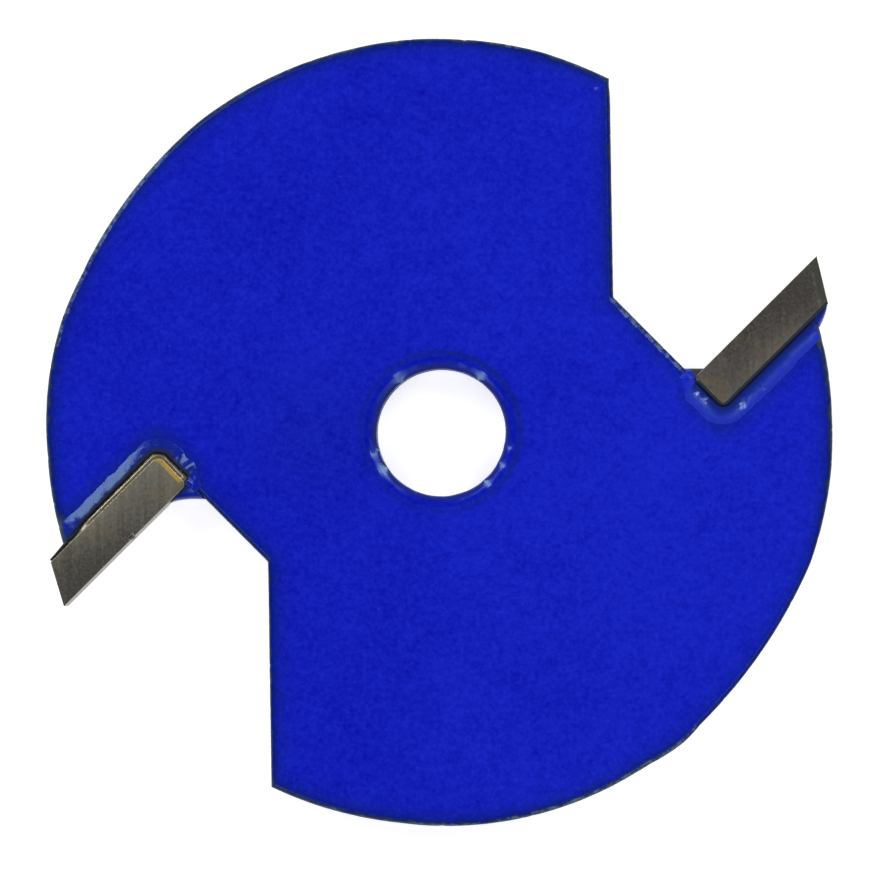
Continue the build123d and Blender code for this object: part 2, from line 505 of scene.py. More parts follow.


# %% How thin the coat is and where shade is painted, where it was scuffed with painted glints, and where it was rubbed off
# The coat is thin at the edges, and shade is painted there too: amounts at the rim and at the bore,
# and the distance over which it falls away.
THIN_AND_SHADE_AT_EDGE = 1.22
THIN_AND_SHADE_AT_BORE = 0.62
THIN_AND_SHADE_FALL_OVER = 0.47
BORE_SIDE = 7
NEAR_FACE = (0.50, 1.25)
WALL_SHARE = 0.25
RIM_STARTS = (23.4, 23.7)
# Less darkening in the gullets and towards one direction of the rim.
LESS_DARK_IN_GULLETS = 0.16
LESS_DARK_ON_RIM = 0.26
LESS_DARK_TOWARDS = (-32, 26)
# A darker ring round the bore, strongest towards the upper right: amount, radius, width and
# direction.
DARKER_RING = 0.46
DARKER_RING_RADIUS = 4.88
DARKER_RING_WIDTH = 0.17
DARKER_RING_SIDE = math.radians(40)
FAR_SIDE_SHARE = 0.25
# Painted shade on the plate beside each tip's solder: amount, and the distances from the tip where
# it begins to fade and is gone.
SHADE_BESIDE_TIPS = ((0.34, 1.0, 2.2), (0.42, 1.1, 2.2))
SMUDGE = 0.40
SMUDGE_AT = np.array([9.58, 21.08])
SMUDGE_RADIUS = 0.30
# Scuffs with painted glints along the first gullet floor's edge.
FLOOR_SCUFF_AND_GLINT = 0.56
FLOOR_SCUFF_AND_GLINT_GAPS = (0.12, 0.30)
# Scuffs with painted glints of the soft boxes on the rim: amount, direction and half angle, least
# and greatest gap to the edge.
SCUFFS_AND_GLINTS = (
    (0.62, (142, 11), (0.03, 0.22)),
    (0.50, (156, 17), (0.04, 0.24)),
    (0.36, (180, 22), (0.02, 0.08)),
)
BARE_PATCHES = (
    (0.56, (-66, 22), (0.0, 0.18)),
    (0.46, (-94, 22), (0.0, 0.12)),
    (0.40, (75, 14), (0.0, 0.12)),
    (0.34, (110, 22), (0.0, 0.08)),
)

# %% Where the coat is thin with painted shade, scuffed with painted glints, gone, dull, and milky with a painted sheen
IN_BORE = 4.7
BORE_DULLNESS = 0.9
BLOB_SHINE = 1.9
EDGE_DULLS = (0.25, 0.7)
# A painted sheen on the bore's lead-in, and the gaps over which it fades.
MILKY_SHEEN = 0.13
MILKY_SHEEN_FADES = (0.05, 0.40)
ring_side = FAR_SIDE_SHARE + (1 - FAR_SIDE_SHARE) * (1 + np.cos(body_turn - DARKER_RING_SIDE)) / 2
# A darker ring round the bore, strongest towards the upper right.
ring = bell(body_reach, DARKER_RING_RADIUS, DARKER_RING_WIDTH) * ring_side
smudge = bell(np.hypot(*(body_grid[:, :2] - SMUDGE_AT).T), 0, SMUDGE_RADIUS)
at_edge = np.exp(-gap / THIN_AND_SHADE_FALL_OVER)
in_bore = body_reach < IN_BORE
near_face = ease(np.abs(body_grid[:, 2]), *NEAR_FACE)
in_gullet = 1 - ease(body_reach, *RIM_STARTS)
rim_share = 1 - LESS_DARK_IN_GULLETS * in_gullet - LESS_DARK_ON_RIM * near_direction(*LESS_DARK_TOWARDS)
# Thin coat and painted shade at the edges and the bore, with a darker ring round the bore.
thin_and_shade = np.where(body_reach < BORE_SIDE, THIN_AND_SHADE_AT_BORE, THIN_AND_SHADE_AT_EDGE * rim_share)
thin_and_shade = thin_and_shade * at_edge * (WALL_SHARE + (1 - WALL_SHARE) * near_face) + DARKER_RING * ring
# Painted shade on the plate beside each tip's solder.
for wing, (amount, low, high) in enumerate(SHADE_BESIDE_TIPS):
    thin_and_shade = thin_and_shade + amount * beside_tip(wing, low, high)
# Scuffs with painted glints of the upper right soft box along the first gullet floor's edge.
floor_scuff_and_glint = FLOOR_SCUFF_AND_GLINT * on_floor_edge() * band(*FLOOR_SCUFF_AND_GLINT_GAPS)
# Scuffs with painted glints of the soft boxes on the rim, the floor's scuffs and glints, and a
# smudge.
scuffed_and_glint = np.maximum.reduce([*rim_patches(SCUFFS_AND_GLINTS), floor_scuff_and_glint, SMUDGE * smudge]) * near_face
bare = np.maximum.reduce(rim_patches(BARE_PATCHES)) * near_face
blob_gloss = np.clip(coat_blobs(body_turn), 0, 1)
dull = np.where(in_bore, BORE_DULLNESS - BLOB_SHINE * blob_gloss, ease(at_edge, *EDGE_DULLS))
# A painted sheen on the bore's lead-in.
milky_sheen = MILKY_SHEEN * in_bore * (1 - ease(gap, *MILKY_SHEEN_FADES))
print("scuffed points", int((scuffed_and_glint > 0.3).sum()), "bare points", int((bare > 0.3).sum()))

# %% Join the grids and fill the two faces
edge_faces = grid_faces(*edge_points.shape[:2], close_columns=True)
bore_first = edge_points.shape[0] * edge_points.shape[1]
bore_faces = grid_faces(*bore_points.shape[:2], first=bore_first, close_columns=True)


def fill_between_loops(points, faces):
    """Faces of the flat fields: triangles that span the open loops above and below."""
    sheet = bmesh.new()
    corners = [sheet.verts.new(point) for point in points]
    for face in faces:
        sheet.faces.new([corners[i] for i in face])
    sheet.verts.index_update()
    fields = []
    for side in (1, -1):
        loops = [e for e in sheet.edges if e.is_boundary and e.verts[0].co.z * side > 0]
        made = bmesh.ops.triangle_fill(sheet, use_beauty=True, edges=loops, normal=(0, 0, side))
        new_faces = [item for item in made["geom"] if isinstance(item, bmesh.types.BMFace)]
        fields += [[corner.index for corner in face.verts] for face in new_faces]
    sheet.free()
    return fields


field_faces = fill_between_loops(body_grid, edge_faces + bore_faces)
body_faces = edge_faces + bore_faces + field_faces
wear = {"thin_and_shade": thin_and_shade, "scuffed_and_glint": scuffed_and_glint, "bare": bare, "dull": dull, "milky_sheen": milky_sheen}
lacquered_body = new_piece(
    "lacquered_body", body_grid, body_faces, "cutter_body", "blue_lacquer", **wear
)
print("field triangles", len(field_faces))

# %% [markdown]
# ## The carbide tips
# A tip is sintered as a plain bar and ground after brazing: first the end face, then the
# two flanks, which close in behind the cutting face and towards the bore. Seen from above
# a flank is four-sided with two rounded inner corners, so a grid from its inner end to its
# end face fits it, with its lines crowded where the edges are broken by a hair.

# %% Sizes of a ground tip
RELIEF_ANGLES = (math.radians(12), math.radians(8))
FLANK_BACK = math.tan(math.radians(2.0))
FLANK_INWARD = math.tan(math.radians(0.75))
BACK_CORNER = 0.45
FRONT_CORNER = 0.35
EDGE_BREAK = 0.035
RAKE_AHEAD = (0.06, 0.0)
FACET_WIDTH = 0.55
FACET_DROP = math.tan(math.radians(1.6))
WEAR_DEPTH = 0.002
NOTCH_DEPTH = 0.12
NOTCH_HALF_LENGTH = 0.16
NO_NOTCH = 99.0
NOTCH_PLACE = -5.9
WALL_RINGS = ((0.9, 1.0), (0.3, 0.85), (-0.3, 0.55), (-0.9, 0.15))


def crowded(count, length, border):
    """Places from 0 to length: even in the middle and crowded within a border at the ends."""
    close = border * np.array([0, 0.06, 0.2, 0.45, 0.75, 1, 1.25])
    middle = np.linspace(2.2 * border, length - 2.2 * border, count)
    return np.concatenate([close, middle, length - close[::-1]])


def flank_height(x, y):
    """Height of the ground flank over a point of the wing, above mid thickness."""
    return tip_half_width + FLANK_INWARD * x + FLANK_BACK * y


# %% One tip as a flank, its mirror and a wall between them
def tip_grid(relief_angle, rake_ahead, notch_at, seed):
    """Points of the upper flank in the wing's axes. Rows lie at even y, and each runs from
    the rounded inner end to the end face. Height is the flank's plane, less the ground
    facet by the end face, the broken edge, which follows a quarter circle, and the notch."""
    end_slope = math.tan(HOOK_ANGLE + relief_angle)
    y = crowded(40, tip_thickness, EDGE_BREAK)[:, None] - tip_thickness
    back_gap = np.clip(BACK_CORNER - (y + tip_thickness), 0, None)
    front_gap = np.clip(FRONT_CORNER + y, 0, None)
    inner = -tip_length + BACK_CORNER - np.sqrt(BACK_CORNER**2 - back_gap**2)
    inner = inner + FRONT_CORNER - np.sqrt(FRONT_CORNER**2 - front_gap**2)
    outer = y * end_slope
    length_share = crowded(170, tip_length, EDGE_BREAK) / tip_length
    x = inner + (outer - inner) * length_share
    y = y + 0 * x

    end_gap = (outer - x) * math.cos(HOOK_ANGLE + relief_angle)
    to_edge = np.minimum.reduce([y + tip_thickness, -y, end_gap, x - inner])
    short = np.clip(EDGE_BREAK - to_edge, 0, None)
    broken = EDGE_BREAK - np.sqrt(np.clip(EDGE_BREAK**2 - short**2, 0, None))
    facet = FACET_DROP * np.clip(FACET_WIDTH - end_gap, 0, None)
    wear = WEAR_DEPTH * wander(x + 3 * y, 2 * tip_length, 6, 0.8, seed)
    notch = NOTCH_DEPTH * bell(x, notch_at, NOTCH_HALF_LENGTH, 4) * ease(y, -0.24, -0.02)
    height = flank_height(x, y) - broken - facet + wear - notch
    ahead_here = rake_ahead * (1 + y / tip_thickness)
    gaps = {"end_gap": end_gap, "inner_gap": x - inner, "notch_shade": 9 * notch}
    return x, y + ahead_here - notch, height, gaps


def rim_of_grid(rows, columns):
    """Numbers of the outer points of a grid, once round."""
    grid = np.arange(rows * columns).reshape(rows, columns)
    return np.concatenate([grid[0, :-1], grid[:-1, -1], grid[-1, :0:-1], grid[:0:-1, 0]])


BACK_WARMTH = (0.95, 0.85)


def tip_tints(number, x, y, gaps):
    """How each point of a flank is tinted. The warmth rises towards the inner end, and along
    the back most in the middle. Beside the solder the first tip is dark with burnt flux and
    painted shade, the notch of the second one gets painted shade, and inside its inner end
    the second one wears a smear of gold."""
    inwards = -x / tip_length
    backwards = -y / tip_thickness
    belly = bell(inwards, 0.5, 0.22)
    warm_share = 0.75 * inwards**3 + BACK_WARMTH[number - 1] * backwards**2 * (0.35 + 0.65 * belly)
    to_solder = np.minimum(y + tip_thickness, gaps["inner_gap"])
    ahead_of_solder = 1 - ease(y, -0.30, -0.12)
    burnt_and_shade = (1 - ease(to_solder, 0.11, 0.25)) * ahead_of_solder
    at_inner_end = ease(inwards, 0.93, 0.95) * (1 - ease(gaps["inner_gap"], 0.22, 0.34))
    smear = at_inner_end * (1 - ease(y, -0.5, -0.3))
    return {
        "warmth": warm_share,
        "burnt_and_shade": np.maximum(burnt_and_shade * (number == 1), gaps["notch_shade"]),
        "smear": smear * (number == 2),
        "facet": (1 - ease(gaps["end_gap"], 0.35, 0.58)) * (number == 1),
        "border": bell(gaps["end_gap"], 0.52, 0.10) * (number == 1),
    }


def ground_tip(number, notch_at):
    """A closed tip: two flanks with rings of wall points between their rims. Only the upper
    flank is notched. Each ring has its share of the half height and of the notch."""
    wing = number - 1
    flanks = []
    tints = []
    for side, notch_here in ((1, notch_at), (-1, NO_NOTCH)):
        angles = RELIEF_ANGLES[wing], RAKE_AHEAD[wing]
        x, y, height, gaps = tip_grid(*angles, notch_here, seed=40 + number)
        flanks.append(with_height(on_cutter(x, y, wing), side * height).reshape(-1, 3))
        tints.append(tip_tints(number, x, y, gaps))
    rim = rim_of_grid(*x.shape)
    upper, lower = flanks[0][rim], flanks[1][rim] * (1, 1, -1)
    rings = [(lower + mix * (upper - lower)) * (1, 1, share) for share, mix in WALL_RINGS]
    points = np.concatenate(flanks + rings)
    count, ring = x.size, rim.size
    faces = grid_faces(*x.shape) + grid_faces(*x.shape, first=count)
    rings_first = 2 * count + ring * np.arange(len(rings))
    lines = [rim, *(first + np.arange(ring) for first in rings_first), rim + count]
    for above, below in zip(lines[:-1], lines[1:]):
        walls = np.stack([above, np.roll(above, -1), np.roll(below, -1), below], axis=-1)
        faces += walls.tolist()
    values = {}
    for name in tints[0]:
        upper, lower = tints[0][name].ravel(), tints[1][name].ravel()
        on_wall = [lower[rim] + mix * (upper[rim] - lower[rim]) for share, mix in WALL_RINGS]
        values[name] = np.concatenate([upper, lower, *on_wall])
    node = f"carbide_tip_{number}"
    return new_piece(f"ground_tip_{number}", points, faces, node, "ground_carbide", **values)


ground_tips = [ground_tip(1, NO_NOTCH), ground_tip(2, NOTCH_PLACE)]

# %% [markdown]
# ## The brazed seams
# The tip was laid in its seat with silver solder, which crept out on both faces as a bead
# along the back of the tip and round its inner end. A bead is a profile carried along a
# path. The path is the side of the tip, and the profile is measured outwards from it: a
# lip that clings to the tip, a narrow groove, the crest and a foot that runs out on the
# plate. Under the beads the same profile goes down through the seat as a thin film, so one
# closed loop of points makes the beads of both faces and the film between them.

# %% The path along the side of the tip
SEAM_POINTS = 300
TOE_RUN = 0.7


def seam_path():
    """Points, outward directions and distances along the tip's side, from the rim along
    its back, round the inner back corner, along its inner end and past its foot."""
    mouth = bore_centre[0] + math.sqrt(body_radius**2 - (seat_depth + bore_centre[1]) ** 2)
    back_run = mouth + tip_length - BACK_CORNER
    corner_run = BACK_CORNER * np.pi / 2
    end_run = tip_thickness - BACK_CORNER + TOE_RUN
    along = np.linspace(0, back_run + corner_run + end_run, SEAM_POINTS)
    turned = np.clip((along - back_run) / BACK_CORNER, 0, np.pi / 2)
    outward = np.stack([-np.sin(turned), -np.cos(turned)], axis=-1)
    centre_x = mouth - np.minimum(along, back_run)
    centre_y = -tip_thickness + BACK_CORNER + np.clip(along - back_run - corner_run, 0, None)
    path = np.stack([centre_x, centre_y], axis=-1) + BACK_CORNER * outward
    return path, outward, along


path, outward, along_seam = seam_path()
seam_length = along_seam[-1]
print("seam", round(seam_length, 2), "mm, from", path[0].round(2), "to", path[-1].round(2))

# %% The profile of the bead
BEAD_WIDTH = 1.22
WIDTH_UNEVEN = 0.06
CREST_UNEVEN = 0.14
NARROW_END = 0.45
BEAD_CRESTS = (0.17, 0.13)
BEAD_POWERS = (2.0, 1.1)
GROOVES = (0.03, 0.31)
GROOVE_DEPTH = 0.6
GROOVE_WIDTH = 0.07
LIP_WIDTH = 0.23
LIP_SOFTNESS = 0.03
LIP_BELOW_FLANK = 0.008
LIP_BEGINS = (1.2, 2.6)
LIP_STOPS = (0.8, 1.3)
BLOB_WIDTH = 0.24
RIM_RUN = (-0.3, 1.2)
FOOT_RUN = 1.4
SUNK = 0.03
RIDGES = ((), ((4.05, 2.75, 0.20), (9.35, 0.55, 0.22)))
BLOBS_OF_SOLDER = (
    (
        (7.04, 0.30, 0.15, 0.55), (8.95, 0.24, 0.15, 0.34), (9.60, 0.18, 0.10, 0.36),
        (5.40, 0.13, 0.05, 0.80), (10.80, 0.16, 0.06, 0.42), (0.75, 0.45, 0.06, 0.60),
    ),
    ((0.70, 0.40, 0.04, 0.42), (8.30, 0.30, 0.04, 0.42), (10.40, 0.20, 0.05, 0.42)),
)
bead_share = np.concatenate([np.linspace(0, 0.36, 25), np.linspace(0.39, 1, 22)])


def bead_surface(wing, side):
    """Reach and height of one bead, a row for each place along the seam. Height is the
    crest times (1 - reach squared) to a power, where long ridges raise the crest, plus bells
    for the blobs in which solder gathered, less a narrow bell for the groove. On the second
    tip a brass lip stands beside the flank, a hair below it."""
    seed = 60 + 10 * wing + side
    to_foot = seam_length - along_seam
    low_end = ease(along_seam, *RIM_RUN)
    low_end = low_end * (1 - ease(along_seam, seam_length - FOOT_RUN, seam_length))
    width = BEAD_WIDTH * (1 + WIDTH_UNEVEN * wander(along_seam, seam_length, 5, 0.9, seed))
    uneven = 1 + CREST_UNEVEN * wander(along_seam, seam_length, 4, 0.7, seed + 1)
    crest = BEAD_CRESTS[wing] * uneven
    for place, half_length, rise in RIDGES[wing]:
        crest = crest + rise * bell(along_seam, place, half_length, 4) * uneven
    reach = width[:, None] * (NARROW_END + (1 - NARROW_END) * low_end[:, None]) * bead_share
    height = (crest * low_end)[:, None] * (1 - bead_share**2) ** BEAD_POWERS[wing]
    for place, half_length, rise, out in BLOBS_OF_SOLDER[wing]:
        blob = bell(along_seam, place, half_length)[:, None] * bell(reach, out, BLOB_WIDTH)
        height = height + rise * blob * (1 - bead_share**2)
    beside = path[:, None] + outward[:, None] * reach[..., None]
    flank = flank_height(beside[..., 0], beside[..., 1]) - half_thickness
    valley = GROOVE_DEPTH * height * bell(reach, GROOVES[wing], GROOVE_WIDTH)
    lip_ends = 1 - ease(reach, LIP_WIDTH - LIP_SOFTNESS, LIP_WIDTH + LIP_SOFTNESS)
    lip = (flank - LIP_BELOW_FLANK - height) * lip_ends
    lip_stands = ease(along_seam, *LIP_BEGINS) * ease(to_foot, *LIP_STOPS)
    height = height - valley + wing * lip_stands[:, None] * lip
    return reach, half_thickness + np.maximum(height, -SUNK)


# The highest blobs get painted glints, laid on as solder rubbed bare.
RUBBED_GLINT_RISE = 0.08
RUBBED_GLINT_OUTWARDS = 0.14
RUBBED_GLINT_AMOUNT = 0.8


def rubbed_glint_blobs(wing, reach):
    """1 on the outer side of the blobs that stand highest: painted glints, laid on as solder where
    the coat is rubbed off.
    """
    rubbed_and_glint = 0 * reach
    for place, half_length, rise, out in BLOBS_OF_SOLDER[wing]:
        if rise > RUBBED_GLINT_RISE:
            along = bell(along_seam, place, half_length)[:, None]
            across = bell(reach, out + RUBBED_GLINT_OUTWARDS, BLOB_WIDTH)
            rubbed_and_glint = rubbed_and_glint + RUBBED_GLINT_AMOUNT * along * across
    return rubbed_and_glint


# %% One closed loop of points for each place along the seam
def seam_section(wing):
    """Reach and height of the whole loop: the upper bead outwards, back under it to the
    seat, down through the seat, and the lower bead the other way round."""
    upper, upper_height = bead_surface(wing, 1)
    lower, lower_height = bead_surface(wing, -1)
    column = np.ones((SEAM_POINTS, 1))
    seat = SOLDER_GAP * column
    under = (half_thickness - SUNK) * column
    reach = [upper, upper[:, -1:], seat, seat, seat, lower[:, -1:], lower[:, ::-1]]
    height = [upper_height, under, under, 0 * under, -under, -under, -lower_height[:, ::-1]]
    return np.concatenate(reach, axis=1), np.concatenate(height, axis=1)


WEB_STEPS = 25


def solder_fillet(corner, first_leg, second_leg, inner, bend, half_height):
    """A small web in the corner between two faces: a curve from the end of one leg to the
    end of the other, drawn in towards the corner near the top and bottom. The curve is a
    quadratic one whose middle point is the two legs' sum, each times its share in `bend`.
    The web closes over an inner point, which the tip hides."""
    share = np.linspace(0, 1, WEB_STEPS)[:, None]
    middle = bend[0] * first_leg + bend[1] * second_leg
    curve = (1 - share) ** 2 * first_leg + 2 * share * (1 - share) * middle + share**2 * second_leg
    ring = np.concatenate([[[0.0, 0.0]], curve, [inner]])
    rise = np.sin(np.linspace(-np.pi / 2, np.pi / 2, WEB_STEPS))
    size = (1 - 0.9 * np.abs(rise) ** 9)[:, None, None]
    plan = corner + size * ring
    height = (half_height * rise)[:, None] + 0 * plan[..., 0]
    return plan, height, tube_faces(*height.shape)


# %% The two webs of a seam
TOE_LEGS = ((1.16, 1.11), (1.50, 2.07))
TOE_BENDS = ((0.50, 0.50), (0.04, 0.61))
HEEL_WEBS = (0.75, 0.35)
HEEL_BENDS = ((0.62, 0.62), (0.50, 0.50))
HEEL_OVERHANGS = (0.0, 0.20)
TOE_HALF_HEIGHT = 1.46
HEEL_HALF_HEIGHT = 1.45


def soldered_webs(wing):
    """The web at the tip's foot and the one at its heel, each with how far its points lie
    from the tip and how bare they are. The first tip's foot was ground together with it."""
    floor_leg, rake_leg = TOE_LEGS[wing]
    toe_corner = np.array([seat_end - 0.03, -0.06])
    toe_legs = np.array([0, floor_leg]), np.array([rake_leg, 0.03])
    toe_end = 0.9 * toe_legs[1]
    toe = solder_fillet(toe_corner, *toe_legs, toe_end, TOE_BENDS[wing], TOE_HALF_HEIGHT)
    mouth = path[0]
    heel_turn = np.arctan2(*(mouth - bore_centre)[::-1]) - HEEL_WEBS[wing] / body_radius
    on_rim = bore_centre + polar(body_radius - 0.02, heel_turn)
    setback = tip_thickness * math.tan(HOOK_ANGLE + RELIEF_ANGLES[wing])
    heel_corner = mouth + np.array([-0.25, 0.02])
    heel_end = np.array([-setback + 0.01, -tip_thickness - HEEL_OVERHANGS[wing]])
    inner = np.array([-setback - 0.04, -tip_thickness + 0.08]) - heel_corner
    heel_legs = on_rim - heel_corner, heel_end - heel_corner
    heel = solder_fillet(heel_corner, *heel_legs, inner, HEEL_BENDS[wing], HEEL_HALF_HEIGHT)
    in_front = np.clip(toe[0][..., 1], 0, None)
    behind = np.clip(-tip_thickness - heel[0][..., 1], 0, None)
    # The webs take the row's colours at these reaches: on the second tip its dark part, burnt flux
    # and painted shade in the corner at the foot and under the overhanging heel, and on the first
    # tip's heel painted shade next to the tip.
    if wing:
        across = 0.24 + 3.0 * in_front, 0.33 + 0.1 * behind
    else:
        across = 0.7 + 0 * in_front, np.clip(0.06 + 1.4 * behind, 0, 0.78)
    bare_foot = ease(toe[0][..., 0], -10.42, -10.26) * (1 - wing)
    return (toe, across[0], bare_foot), (heel, across[1], 0 * behind)


# %% Build a seam
INSIDE_RIM = (0.20, 0.25)
ENDS_AT_FACE = (-0.35, 0.05)
LIP_NARROWS = ((0.14, 0.9, 2.0), (0.08, 1.5, 3.5))


def soldered_seam(number):
    """The solder of one tip: the beads with their film, kept inside the rim, and the webs.
    Towards the rim the second tip's lip gets narrower."""
    wing = number - 1
    reach, height = seam_section(wing)
    plan = path[:, None] + outward[:, None] * reach[..., None]
    from_bore = plan - bore_centre
    too_far = from_axis(from_bore) / (body_radius - INSIDE_RIM[wing])
    plan = bore_centre + from_bore / np.clip(too_far, 1, None)[..., None]
    beyond_foot = ease(plan[..., 1], *ENDS_AT_FACE)
    near_mouth = sum(amount * (1 - ease(along_seam, *run)) for amount, *run in LIP_NARROWS)
    across = reach + beyond_foot + wing * near_mouth[:, None]
    bead = plan, height, tube_faces(*reach.shape)
    parts = [(bead, across, 0 * reach, rubbed_glint_blobs(wing, reach))]
    parts += [(web, web_across, bare, 0 * bare) for web, web_across, bare in soldered_webs(wing)]
    points = np.empty((0, 3))
    faces = []
    values = []
    for (part_plan, part_height, part_faces), *part_values in parts:
        faces += [[i + len(points) for i in face] for face in part_faces]
        placed = on_cutter(part_plan[..., 0], part_plan[..., 1], wing)
        points = np.concatenate([points, with_height(placed, part_height).reshape(-1, 3)])
        values.append([value.ravel() for value in part_values])
    joined = [np.concatenate(value) for value in zip(*values)]
    values = dict(zip(("across", "bare_solder", "rubbed_and_glint"), joined))
    node = f"braze_joint_{number}"
    return new_piece(f"soldered_seam_{number}", points, faces, node, "lacquered_braze", **values)


soldered_seams = [soldered_seam(number) for number in (1, 2)]

# %% [markdown]
# ## Building materials from nodes
# A material is a small chain of nodes. These helpers add a node and feed its inputs, either
# with a plain value or with the output of another node, which makes a link.

# %% Add a node
def feed(tree, node, inputs):
    """Fill a node's inputs, or link those whose value is the output of another node."""
    for name, value in inputs.items():
        if isinstance(value, bpy.types.NodeSocket):
            tree.links.new(value, node.inputs[name])
        else:
            node.inputs[name].default_value = value


def add_node(tree, kind, inputs, **settings):
    """A shader node of a kind, with its settings made and its inputs fed."""
    made = tree.nodes.new("ShaderNode" + kind)
    for name, value in settings.items():
        setattr(made, name, value)
    feed(tree, made, inputs)
    return made


def maths(tree, operation, *values):
    """The result of one sum on numbers or sockets."""
    return add_node(tree, "Math", dict(enumerate(values)), operation=operation).outputs[0]


def scaled(tree, value, factor, plus=0.0):
    """A value times a factor, plus something: the sum that materials need most."""
    return maths(tree, "MULTIPLY_ADD", value, factor, plus)


def mapped(tree, value, low, high, at_low=0.0, at_high=1.0, step="LINEAR"):
    """A value carried from one range to another and held at both ends."""
    inputs = {"Value": value, "From Min": low, "From Max": high, "To Min": at_low, "To Max": at_high}
    return add_node(tree, "MapRange", inputs, interpolation_type=step).outputs[0]


def noise(tree, vector, scale, detail=2.0, roughness=0.5):
    """Cloudy noise, about 0.5 on average, with `scale` features to the metre."""
    inputs = {"Vector": vector, "Scale": scale, "Detail": detail, "Roughness": roughness}
    return add_node(tree, "TexNoise", inputs).outputs[0]


def painted(tree, colour, *layers):
    """A colour under some layers, from the lowest up, each a share and a colour."""
    for share, paint in layers:
        sockets = {0: share, 6: colour, 7: paint}
        colour = add_node(tree, "Mix", sockets, data_type="RGBA").outputs[2]
    return colour


def ramp(tree, value, stops):
    """Colour and cover at a value from 0 to 1, between stops of place and colour."""
    made = add_node(tree, "ValToRGB", {"Fac": value})
    elements = made.color_ramp.elements
    elements.remove(elements[1])
    elements[0].position, elements[0].color = stops[0]
    for place, colour in stops[1:]:
        elements.new(place).color = colour
    return made.outputs["Color"], made.outputs["Alpha"]


def new_group(name, inputs, outputs):
    """An empty node group with named inputs and outputs, each of a kind of socket."""
    group = bpy.data.node_groups.new(name, "ShaderNodeTree")
    for direction, sockets in (("INPUT", inputs), ("OUTPUT", outputs)):
        for socket_name, kind in sockets.items():
            socket_type = "NodeSocket" + kind
            group.interface.new_socket(socket_name, in_out=direction, socket_type=socket_type)
    given = group.nodes.new("NodeGroupInput").outputs
    return group, given, group.nodes.new("NodeGroupOutput")


# %% [markdown]
# ## The blue lacquer
# Stoved lacquer is never quite even. It has the fine peel of a sprayed coat, darker and
# lighter clouds where it ran thinner or thicker, and it draws away from sharp edges. The
# body and the seams wear the same coat, so its colour and relief are made once, as a group.

# %% The lacquer's colour and relief
DEEP_BLUE = (0.0000, 0.0000, 0.390, 1)
FULL_BLUE = (0.0072, 0.0175, 0.590, 1)
COAT_PATTERNS = ((110, 3), (700, 2), (2300, 2, 0.6), (4200, 2, 0.6))
COAT_WEIGHTS = (0.6, 0.5, 1.0, 0.8)
COAT_ROUGHNESS = (0.12, 0.20)
RIGHTWARDS = 5.0


def lacquer_group():
    """Colour between a deep and a full blue, and a height for it. The tone is one half plus
    clouds, mottle, peel and grain, each less one half and with a weight of its own, and it
    rises a little to the right."""
    outputs = {"Color": "Color", "Roughness": "Float", "Height": "Float"}
    group, given, made = new_group("stoved_lacquer", {"Vector": "Vector"}, outputs)
    place = given["Vector"]
    patterns = [noise(group, place, *pattern) for pattern in COAT_PATTERNS]
    peel, grain = patterns[2:]
    right = add_node(group, "SeparateXYZ", {"Vector": place}).outputs["X"]
    tone = scaled(group, right, RIGHTWARDS, 0.5 - 0.5 * sum(COAT_WEIGHTS))
    for pattern, weight in zip(patterns, COAT_WEIGHTS):
        tone = scaled(group, pattern, weight, tone)
    feed(group, made, {
        "Color": painted(group, DEEP_BLUE, (tone, FULL_BLUE)),
        "Roughness": scaled(group, grain, *COAT_ROUGHNESS),
        "Height": scaled(group, grain, 0.5, peel),
    })
    return group


stoved_lacquer = lacquer_group()


# %% Ragged wear, for any material
def wear_group():
    """A mask with a ragged border: 1 where the wear given on the points, shaken by noise,
    passes one half."""
    inputs = {"Vector": "Vector", "Wear": "Float", "Scale": "Float", "Raggedness": "Float"}
    group, given, made = new_group("ragged_wear", inputs, {"Mask": "Float"})
    speckle = noise(group, given["Vector"], given["Scale"], 3, 0.65)
    shaken = maths(group, "SUBTRACT", speckle, 0.5)
    shaken = scaled(group, shaken, given["Raggedness"], given["Wear"])
    feed(group, made, {"Mask": mapped(group, shaken, 0.35, 0.75, step="SMOOTHSTEP")})
    return group


ragged_wear = wear_group()


# %% What every finish needs
def new_material(name):
    """A material with its tree, its Principled shader and the point on the piece."""
    material = bpy.data.materials.new(name)
    material.use_nodes = True
    tree = material.node_tree
    place = add_node(tree, "TexCoord", {}).outputs["Object"]
    return material, tree, tree.nodes["Principled BSDF"], place


def read_value(tree, name):
    """A value kept on the points of the piece."""
    return add_node(tree, "Attribute", {}, attribute_name=name).outputs["Fac"]


def placed_group(tree, group, place, **inputs):
    """The outputs of a group that works on the point of the piece."""
    return add_node(tree, "Group", {"Vector": place, **inputs}, node_tree=group).outputs


def worn_through(tree, place, value_name, scale, raggedness):
    """1 where a kind of wear kept on the points shows, with a ragged border."""
    inputs = {"Wear": read_value(tree, value_name), "Scale": scale, "Raggedness": raggedness}
    return placed_group(tree, ragged_wear, place, **inputs)["Mask"]


def relief(tree, height, depth):
    """The normal of small relief on the surface, its depth in metres."""
    inputs = {"Height": height, "Distance": depth, "Strength": 1.0}
    return add_node(tree, "Bump", inputs).outputs[0]


# %% [markdown]
# ## The body's finish
# The body shows the lacquer, darker at the edges, where the coat is thin and shade is painted,
# and beside the solder, where shade is painted, with a darker ring round the bore. It is greyish
# where the edges were scuffed, with painted glints on the rim and the gullet floor, milky with a
# painted sheen on the bore's lead-in, and greenish steel where the edges were rubbed through.
# Where each kind of wear and painted light lies was worked out with the mesh, and here it only
# gets its colours and its ragged border. Left of the bore the blue is a little darker as well.

# %% Body lacquer
# Thin coat with painted shade at the edges and beside the solder, and the darker ring round the
# bore.
THIN_COAT_AND_SHADE = (0.0022, 0.0110, 0.052, 1)
EDGE_GREY = (0.085, 0.115, 0.170, 1)
